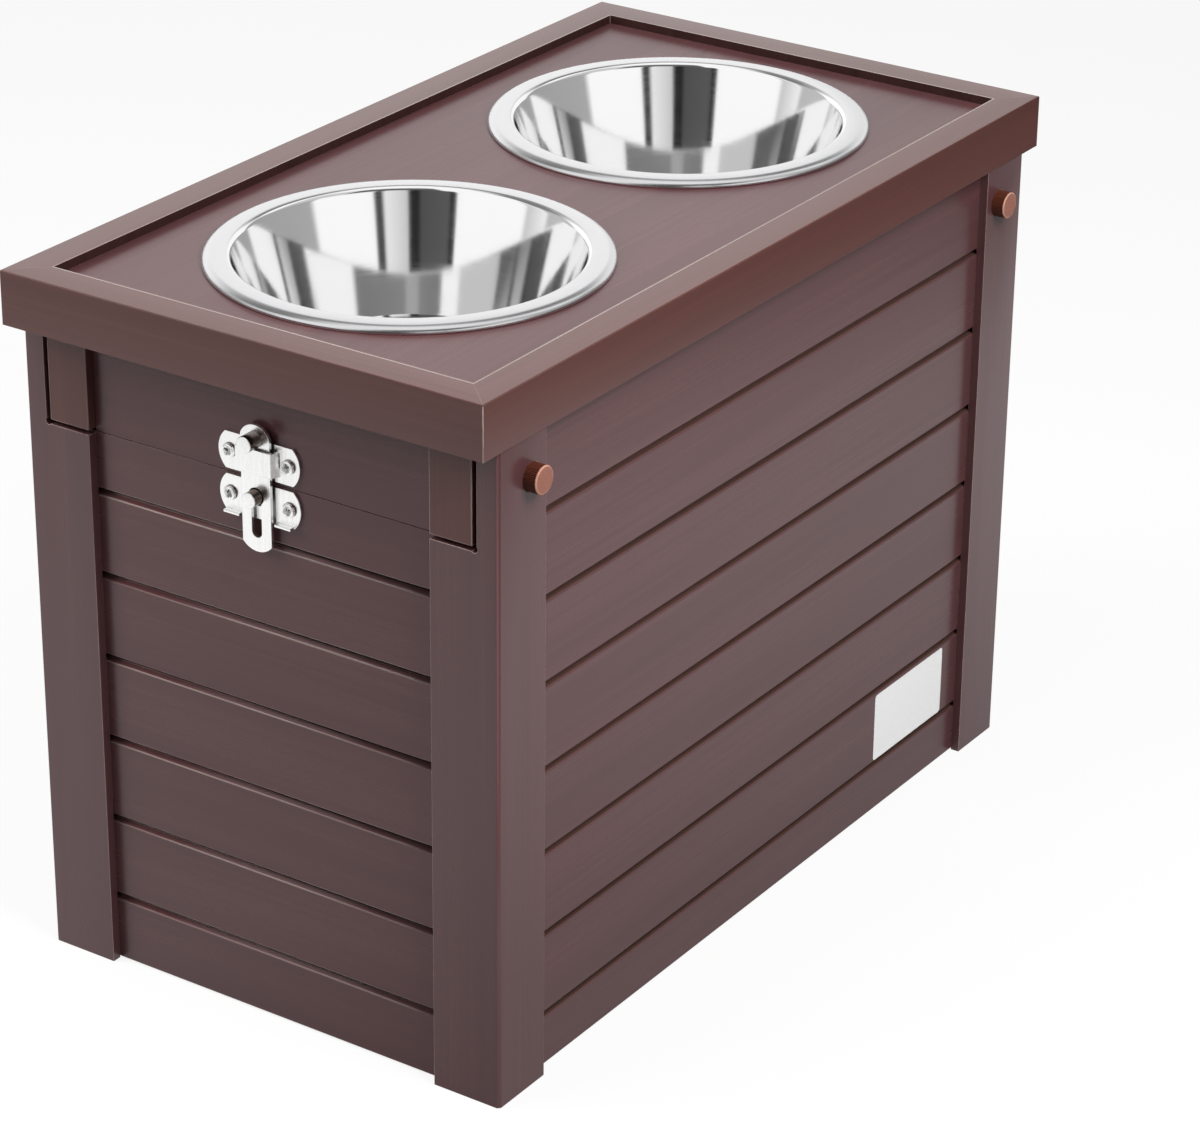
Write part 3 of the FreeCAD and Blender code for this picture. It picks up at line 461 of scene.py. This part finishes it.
bowl_polish = steel("bowl_polish", POLISHED_STEEL, (18.0, 18.0, 1200.0), 0.05, 0.11)
rim_satin = steel("rim_satin", SATIN_STEEL, (300.0, 300.0, 300.0), 0.22, 0.26, 0.004)
for node in ("bowl_latch_end", "bowl_hinge_end"):
    low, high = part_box(node)
    x = (low.x + high.x) / 2
    bm = spun(BOWL_PROFILE, (x, 0, 0), (0, 0, 1), BOWL_STEPS, BOWL_ROUNDS)
    for face in bm.faces:
        middle = face.calc_center_median()
        face.material_index = SATIN if Vector((middle.x - x, middle.y)).length > RIM_START else POLISH
    bmesh.ops.solidify(bm, geom=bm.faces[:], thickness=-SHEET)
    dressed(bm, "spun_" + node, node, [bowl_polish, rim_satin], [node])

# Hinges. Two plain steel butt hinges carry the lid across the split at the far end.
# Each has flat leaves with rolled knuckles on a wire pin.
STAMPED_ARRIS = 0.00025
STAMPED_STEEL = (0.97, 0.97, 0.96)

stamped = steel("stamped_steel", STAMPED_STEEL, (700.0, 700.0, 60.0), 0.20, 0.32)
for node, name in (("hinge_lid_leaves", "hinge_upper_leaves"),
                   ("hinge_cabinet_leaves", "hinge_lower_leaves"),
                   ("hinge_pins", "hinge_wire_pins")):
    eased(node, name, STAMPED_ARRIS, [stamped])

# Latch plates. Two butterfly plates are stamped from stainless strip, one each side of the split.
# The upper one has a pressed bridge for the bar, and the lower one two bent lips below its edge.
eased("latch_lower_plate", "latch_stop_plate", STAMPED_ARRIS, [stamped])
eased("latch_upper_plate", "latch_bridge_plate", STAMPED_ARRIS, [stamped])

# Latch bar. A flat strip slides under the bridge and has a keyhole slot.
# It ends in a rounded tab. Its pull knob and slot stud are turned and riveted on; their barrels and the
# stud's flange are painted dark as painted reflection and painted shade, and only their ends show bright
# steel.
KNOB_EDGE = 0.0003
STUD_FLANGE = (0.0046, 0.0006)
STUD_RADIUS = 0.0033
PAINTED_DARK_STEEL = (0.13, 0.10, 0.085)
TURNED_STEPS = 48
PAINTED_DARK, BRIGHT = range(2)

eased("latch_bar", "latch_keyhole_bar", STAMPED_ARRIS, [stamped])
# The dark barrel finish is a painted reflection of dark surroundings, and painted shade on the stud's
# flange.
turned = [steel("turned_painted_dark", PAINTED_DARK_STEEL, (60.0, 900.0, 900.0), 0.16, 0.28),
          steel("turned_end", STAMPED_STEEL, (300.0, 300.0, 300.0), 0.22, 0.34)]
low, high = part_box("latch_pull_knob")
knob_radius = (high.y - low.y) / 2
reach = high.x - low.x
knob = [(0, 0), (knob_radius, 0), (knob_radius, reach), (0, reach)]
pieces = [("latch_pull_knob", "latch_turned_knob", knob, {2: (KNOB_EDGE, 3)})]
low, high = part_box("latch_slot_stud")
reach = high.x - low.x
stud = [(0, 0), (STUD_FLANGE[0], 0), STUD_FLANGE, (STUD_RADIUS, STUD_FLANGE[1]), (STUD_RADIUS, reach),
        (0, reach)]
pieces.append(("latch_slot_stud", "latch_turned_stud", stud, {4: (KNOB_EDGE, 3)}))
for node, name, profile, rounds in pieces:
    low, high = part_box(node)
    bm = spun(profile, (high.x, 0, (low.z + high.z) / 2), (-1, 0, 0), TURNED_STEPS, rounds)
    for face in bm.faces:
        face.material_index = BRIGHT if face.calc_center_median().x < low.x + KNOB_EDGE else PAINTED_DARK
    flat_faced(dressed(bm, name, "latch_slide", turned, [node]))

# Screws. Twelve pan-head screws with a cross recess hold the latch plates and the hinge leaves.
# They are plated steel, and their shanks sit in the boards. The heads' upright rims and the shanks are
# painted dark as a painted reflection, and the cross recess is painted dark as painted shadow.
SCREW_FLAT = 0.0023
SCREW_PROFILE = ((0.0029, 0.00135), (0.0032, 0.0007), (0.0032, 0.0), (0.0017, 0.0), (0.0017, -0.0068))
SCREW_TOP = 0.0016
RECESS_HALF = 0.0003
RECESS_ARM = 0.0015
RECESS_DEPTH = 0.0008
CROSS_TURNS = (20, 65, 12, 40, 75, 30)
LATCH_SCREWS = 0.0149
HINGE_SCREWS = (0.036, 0.054)
RECESS_SHADOW = (0.02, 0.018, 0.017)
RECESS = 2
PIT_SHARE = 0.8
GRID_STEPS = 5
GRID_RIM = 0.9
CROSS_CELLS = (0.1, 0.5)
SLANT = 0.3
COLLAR_SHARE = 0.45
SHARP_ANGLE = 35


def cross_head(bm, seat, outward, turn):
    verts = bmesh.ops.create_grid(bm, x_segments=GRID_STEPS, y_segments=GRID_STEPS, size=1.0)["verts"]
    sheet = {face for corner in verts for face in corner.link_faces}
    cross = []
    for face in sheet:
        near, far = sorted(abs(step) for step in face.calc_center_median().xy)
        if near < CROSS_CELLS[0] and far < CROSS_CELLS[1]:
            cross.append(face)
    lines = {1: RECESS_HALF, 3: RECESS_ARM}
    for corner in verts:
        spot = corner.co.copy()
        if max(abs(spot.x), abs(spot.y)) > GRID_RIM:
            corner.co = spot.normalized() * SCREW_FLAT
        else:
            for axis in (0, 1):
                corner.co[axis] = lines[round(abs(spot[axis]) * GRID_STEPS)] * (1 if spot[axis] > 0 else -1)
        corner.co.z = SCREW_TOP
    made = list(verts)
    rim = [edge for edge in {edge for corner in verts for edge in corner.link_edges} if edge.is_boundary]
    width = SCREW_FLAT
    level = SCREW_TOP
    for radius, height in SCREW_PROFILE:
        grown = bmesh.ops.extrude_edge_only(bm, edges=rim)["geom"]
        rim = [part for part in grown if isinstance(part, bmesh.types.BMEdge)]
        ring = [part for part in grown if isinstance(part, bmesh.types.BMVert)]
        rim = [edge for edge in rim if edge.is_boundary]
        bmesh.ops.scale(bm, vec=(radius / width, radius / width, 1), verts=ring)
        bmesh.ops.translate(bm, vec=(0, 0, height - level), verts=ring)
        made += ring
        width = radius
        level = height
    bmesh.ops.edgeloop_fill(bm, edges=rim)
    sunk = bmesh.ops.extrude_face_region(bm, geom=cross)["geom"]
    pit = [part for part in sunk if isinstance(part, bmesh.types.BMVert)]
    bmesh.ops.translate(bm, vec=(0, 0, -RECESS_DEPTH), verts=pit)
    bmesh.ops.scale(bm, vec=(PIT_SHARE, PIT_SHARE, 1), verts=pit)
    for face in {face for corner in pit for face in corner.link_faces}:
        face.material_index = RECESS
    made += pit
    facing = Vector((outward, 0, 0)).to_track_quat("Z", "Y").to_matrix().to_4x4()
    placed = Matrix.Translation(seat) @ facing @ Matrix.Rotation(radians(turn), 4, "Z")
    bmesh.ops.transform(bm, matrix=placed, verts=made)


screw_finishes = [*turned, steel("screw_recess", RECESS_SHADOW, (300.0, 300.0, 300.0), 0.5, 0.6)]
for node, name in (("cabinet_screws", "cabinet_pan_screws"), ("lid_screws", "lid_pan_screws")):
    low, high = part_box(node)
    screws = frame["nodes"][node].data
    plates = {-1: low.x + SCREW_TOP, 1: high.x - SCREW_TOP}
    heights = {}
    for way in plates:
        levels = [corner.co.z for corner in screws.vertices if corner.co.x * way > 0]
        heights[way] = sum(levels) / len(levels)
    bm = bmesh.new()
    places = [(-1, y) for y in (-LATCH_SCREWS, LATCH_SCREWS)]
    places += [(1, side * y) for side in (-1, 1) for y in HINGE_SCREWS]
    for (way, y), turn in zip(places, CROSS_TURNS):
        cross_head(bm, (plates[way], y, heights[way]), way, turn)
    bmesh.ops.recalc_face_normals(bm, faces=bm.faces)
    # Upright rims, undersides and shanks take the dark barrel finish as a painted reflection; tops and
    # slopes stay bright.
    for face in bm.faces:
        raised = abs(face.calc_center_median().x) - plates[1]
        if face.material_index != RECESS:
            shown_up = abs(face.normal.x) > SLANT and raised > SCREW_TOP * COLLAR_SHARE
            face.material_index = BRIGHT if shown_up else PAINTED_DARK
    piece = dressed(bm, name, frame["nodes"][node]["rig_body"], screw_finishes, [node])
    piece.data.set_sharp_from_angle(angle=radians(SHARP_ANGLE))

# Sticker. A small blank label of white coated paper with rounded corners sits on the second board of the
# front, against the groove under it.
STICKER_LOW = Vector((0.0990, -0.11480, 0.0266))
STICKER_HIGH = Vector((0.1606, -0.11465, 0.0603))
STICKER_CORNER = 0.0015
STICKER_TONES = ((0.3, (0.92, 0.92, 0.92)), (0.7, (0.97, 0.97, 0.97)))
STICKER_ROUGH = (0.42, 0.34)

finish, tree, shader = new_finish("sticker_paper", IOR=1.45)
fibre = stretched_noise(tree, (900.0, 900.0, 900.0))
tree.links.new(graded(tree, fibre, *STICKER_TONES), shader.inputs["Base Color"])
tree.links.new(spread(tree, fibre, *STICKER_ROUGH), shader.inputs["Roughness"])
bm = bmesh.new()
bmesh.ops.create_cube(bm, size=1.0)
bmesh.ops.scale(bm, vec=STICKER_HIGH - STICKER_LOW, verts=bm.verts)
bmesh.ops.translate(bm, vec=(STICKER_HIGH + STICKER_LOW) / 2, verts=bm.verts)
thickness = STICKER_HIGH.y - STICKER_LOW.y
corners = [edge for edge in bm.edges if abs(edge.verts[0].co.y - edge.verts[1].co.y) > thickness / 2]
bmesh.ops.bevel(bm, geom=corners, offset=STICKER_CORNER, offset_type="OFFSET", affect="EDGES", segments=5,
                profile=0.5, material=-1)
flat_faced(dressed(bm, "blank_paper_sticker", "cabinet", [finish]))

# Studio. The feeder stands on a white floor under a pale sky of soft light. Seen in reflections, the floor
# carries painted light and shade that change with place.
# Softboxes hang before the front, off the latch end, above the lid and far behind it.
# Dark gaps stand between the white screens round the table, and the polished bowls show them as bands.
FLOOR_SIZE = 12.0
FLOOR_PAPER = (0.32, 0.32, 0.32)
SHOWN_PAPER = (0.90, 0.90, 0.90)
SHOWN_GLOW = 0.85
SKY_LIGHT = (0.08, 0.35)
SOFTBOXES = (
    ("softbox_front", (-0.2, -0.9, 1.1), (0.0, 0.0, 0.25), 0.7, 18.5, False),
    ("softbox_latch_end", (-0.7, 0.95, 0.75), (0.0, 0.0, 0.2), 0.5, 8.5, False),
    ("softbox_above", (-0.6, 0.6, 1.5), (0.0, 0.0, 0.2), 1.0, 9.5, False),
    ("softbox_behind", (1.2, 1.6, 1.1), (0.0, 0.0, 0.3), 2.0, 2.0, True),
)
CAMERA_BEARING = -146.2
SCREENS = (
    (-180, 1.0), (-127, 1.0), (-124, 0.55), (-98, 0.5), (-95, 0.9), (-80, 0.6), (-77, 1.0), (-29, 1.0),
    (-28, 0.03), (-25, 0.03), (-23.5, 0.10), (-5, 0.08), (-3.5, 0.02), (2.5, 0.02), (4, 0.6), (19, 0.85),
    (20.5, 0.05), (25, 0.05), (26.5, 1.0), (66, 1.0), (70, 0.4), (128, 0.35), (132, 1.0), (180, 1.0),
)
HIGH_SCREENS = (
    (-180, 0.40), (-172, 0.40), (-168, 0.24), (-92, 0.2), (-89, 1.0), (-22, 1.0), (-19, 0.12), (47, 0.12),
    (50, 0.6), (105, 0.6), (109, 1.0), (133, 1.0), (136, 0.2), (168, 0.24), (172, 0.40), (180, 0.40),
)
SCREEN_TOP = (0.45, 0.62)
CEILING = (0.86, 0.95)
PAPER_FRONT = (0.25, -0.97, 0.0)
PAPER_REACH = (-0.5, 1.5)
# The levels below grade the floor as seen in reflections: painted shade close before the front, a painted
# bright band further out, near-black beyond it, and dimmer far off the latch end.
PAPER_PAINTED_LIGHT = (
    (-0.5, 1.0), (-0.12, 0.9), (0.05, 0.55), (0.13, 0.55), (0.26, 0.75), (0.40, 0.95), (0.47, 1.0),
    (0.565, 1.0), (0.64, 0.04), (1.5, 0.04),
)
PAPER_SIDE = (-0.90, -0.70)
PAPER_SIDE_PAINTED_SHADE = 0.5


def either(tree, first, second):
    return add_node(tree, "ShaderNodeMath", {0: first, 1: second}, operation="MAXIMUM").outputs[0]


def ring_of(tree, share, screens):
    return graded(tree, share, *[((bearing + 180) / 360, (level,) * 3) for bearing, level in screens])


sky = bpy.data.worlds.new("studio_sky")
bpy.context.scene.world = sky
sky.use_nodes = True
tree = sky.node_tree
tree.nodes.clear()
direction = add_node(tree, "ShaderNodeTexCoord").outputs["Generated"]
turned_sky = add_node(tree, "ShaderNodeMapping", {"Vector": direction,
                                                  "Rotation": (0, 0, radians(-CAMERA_BEARING))})
parts = add_node(tree, "ShaderNodeSeparateXYZ", {"Vector": turned_sky.outputs["Vector"]})
bearing = add_node(tree, "ShaderNodeMath", {0: parts.outputs["Y"], 1: parts.outputs["X"]},
                   operation="ARCTAN2")
round_share = add_node(tree, "ShaderNodeMapRange", {"Value": bearing.outputs[0], "From Min": -pi,
                                                    "From Max": pi, "To Min": 0.0, "To Max": 1.0})
rise = add_node(tree, "ShaderNodeMapRange", {"Value": parts.outputs["Z"], "From Min": SCREEN_TOP[0],
                                             "From Max": SCREEN_TOP[1], "To Min": 0.0, "To Max": 1.0})
above = add_node(tree, "ShaderNodeMix", {"Factor": rise.outputs["Result"],
                                         6: ring_of(tree, round_share.outputs["Result"], SCREENS),
                                         7: ring_of(tree, round_share.outputs["Result"], HIGH_SCREENS)},
                 data_type="RGBA")
overhead = add_node(tree, "ShaderNodeMapRange", {"Value": parts.outputs["Z"], "From Min": CEILING[0],
                                                 "From Max": CEILING[1], "To Min": 0.0, "To Max": 1.0})
above = add_node(tree, "ShaderNodeMix", {"Factor": overhead.outputs["Result"], 6: above.outputs[2],
                                         7: (1, 1, 1, 1)}, data_type="RGBA")
path = add_node(tree, "ShaderNodeLightPath").outputs
dome = add_node(tree, "ShaderNodeMapRange", {"Value": parts.outputs["Z"], "From Min": 0.0, "From Max": 1.0,
                                             "To Min": SKY_LIGHT[0], "To Max": SKY_LIGHT[1]})
lighting = add_node(tree, "ShaderNodeBackground", {"Color": (1, 1, 1, 1),
                                                   "Strength": dome.outputs["Result"]})
backdrop = add_node(tree, "ShaderNodeBackground", {"Color": (1, 1, 1, 1), "Strength": 1.0})
studio = add_node(tree, "ShaderNodeBackground", {"Color": above.outputs[2], "Strength": 1.0})
shiny = add_node(tree, "ShaderNodeMixShader", {0: path["Is Glossy Ray"], 1: lighting.outputs[0],
                                               2: studio.outputs[0]})
chosen = add_node(tree, "ShaderNodeMixShader", {0: either(tree, path["Is Camera Ray"],
                                                          path["Is Transmission Ray"]),
                                                1: shiny.outputs[0], 2: backdrop.outputs[0]})
add_node(tree, "ShaderNodeOutputWorld", {"Surface": chosen.outputs[0]})

paper = bpy.data.materials.new("studio_paper")
paper.use_nodes = True
tree = paper.node_tree
tree.nodes.clear()
path = add_node(tree, "ShaderNodeLightPath").outputs
matt = add_node(tree, "ShaderNodeBsdfDiffuse", {"Color": (*FLOOR_PAPER, 1)})
glow = add_node(tree, "ShaderNodeEmission", {"Color": (1, 1, 1, 1), "Strength": 1.0})
unlit = add_node(tree, "ShaderNodeEmission", {"Color": (0, 0, 0, 1), "Strength": 0.0})
shown = add_node(tree, "ShaderNodeBsdfDiffuse", {"Color": (*SHOWN_PAPER, 1)})
bright = add_node(tree, "ShaderNodeMixShader", {0: SHOWN_GLOW, 1: shown.outputs[0], 2: glow.outputs[0]})
place = add_node(tree, "ShaderNodeTexCoord").outputs["Object"]
forward = add_node(tree, "ShaderNodeVectorMath", {0: place, 1: PAPER_FRONT}, operation="DOT_PRODUCT")
sideways = add_node(tree, "ShaderNodeSeparateXYZ", {"Vector": place})
side_level = add_node(tree, "ShaderNodeMapRange", {"Value": sideways.outputs["X"], "From Min": PAPER_SIDE[0],
                                                   "From Max": PAPER_SIDE[1], "To Min": PAPER_SIDE_PAINTED_SHADE,
                                                   "To Max": 1.0})
along = add_node(tree, "ShaderNodeMapRange", {"Value": forward.outputs["Value"], "From Min": PAPER_REACH[0],
                                              "From Max": PAPER_REACH[1], "To Min": 0.0, "To Max": 1.0})
span = PAPER_REACH[1] - PAPER_REACH[0]
# Painted light and shade on the floor, seen only in reflections.
painted_floor_light = graded(tree, along.outputs["Result"],
             *[((reach - PAPER_REACH[0]) / span, (level,) * 3) for reach, level in PAPER_PAINTED_LIGHT])
level = add_node(tree, "ShaderNodeMath", {0: painted_floor_light, 1: side_level.outputs["Result"]}, operation="MULTIPLY")
mirrored = add_node(tree, "ShaderNodeMixShader", {0: level.outputs[0], 1: unlit.outputs[0],
                                                  2: bright.outputs[0]})
seen = add_node(tree, "ShaderNodeMixShader", {0: path["Is Glossy Ray"], 1: matt.outputs[0],
                                              2: mirrored.outputs[0]})
chosen = add_node(tree, "ShaderNodeMixShader", {0: either(tree, path["Is Camera Ray"],
                                                          path["Is Transmission Ray"]),
                                                1: seen.outputs[0], 2: bright.outputs[0]})
add_node(tree, "ShaderNodeOutputMaterial", {"Surface": chosen.outputs[0]})

bm = bmesh.new()
bmesh.ops.create_grid(bm, x_segments=1, y_segments=1, size=FLOOR_SIZE / 2)
mesh = bpy.data.meshes.new("studio_floor")
bm.to_mesh(mesh)
bm.free()
mesh.materials.append(paper)
floor = bpy.data.objects.new("studio_floor", mesh)
bpy.context.scene.collection.objects.link(floor)

for name, place, target, width, power, mirrored_too in SOFTBOXES:
    lamp = bpy.data.lights.new(name, "AREA")
    lamp.size = width
    lamp.energy = power
    box = bpy.data.objects.new(name, lamp)
    box.location = place
    box.rotation_euler = (Vector(target) - Vector(place)).to_track_quat("-Z", "Y").to_euler()
    box.visible_glossy = mirrored_too
    bpy.context.scene.collection.objects.link(box)

# Camera. A long lens stands less than two metres away, higher than the lid, and looks down at one corner.
# The latch end is on the left of its picture and the front on the right.
CAMERA_PLACE = (-1.37389, -0.94667, 0.92949)
CAMERA_TURN = (64.4403, -0.5415, -55.9728)
LENS_LENGTH = 123.953
SENSOR_WIDTH = 36.0

lens = bpy.data.cameras.new("photo_camera")
lens.lens = LENS_LENGTH
lens.sensor_width = SENSOR_WIDTH
camera = bpy.data.objects.new("photo_camera", lens)
camera.location = CAMERA_PLACE
camera.rotation_euler = [radians(angle) for angle in CAMERA_TURN]
bpy.context.scene.collection.objects.link(camera)
bpy.context.scene.camera = camera
bpy.context.scene.view_settings.view_transform = "Standard"
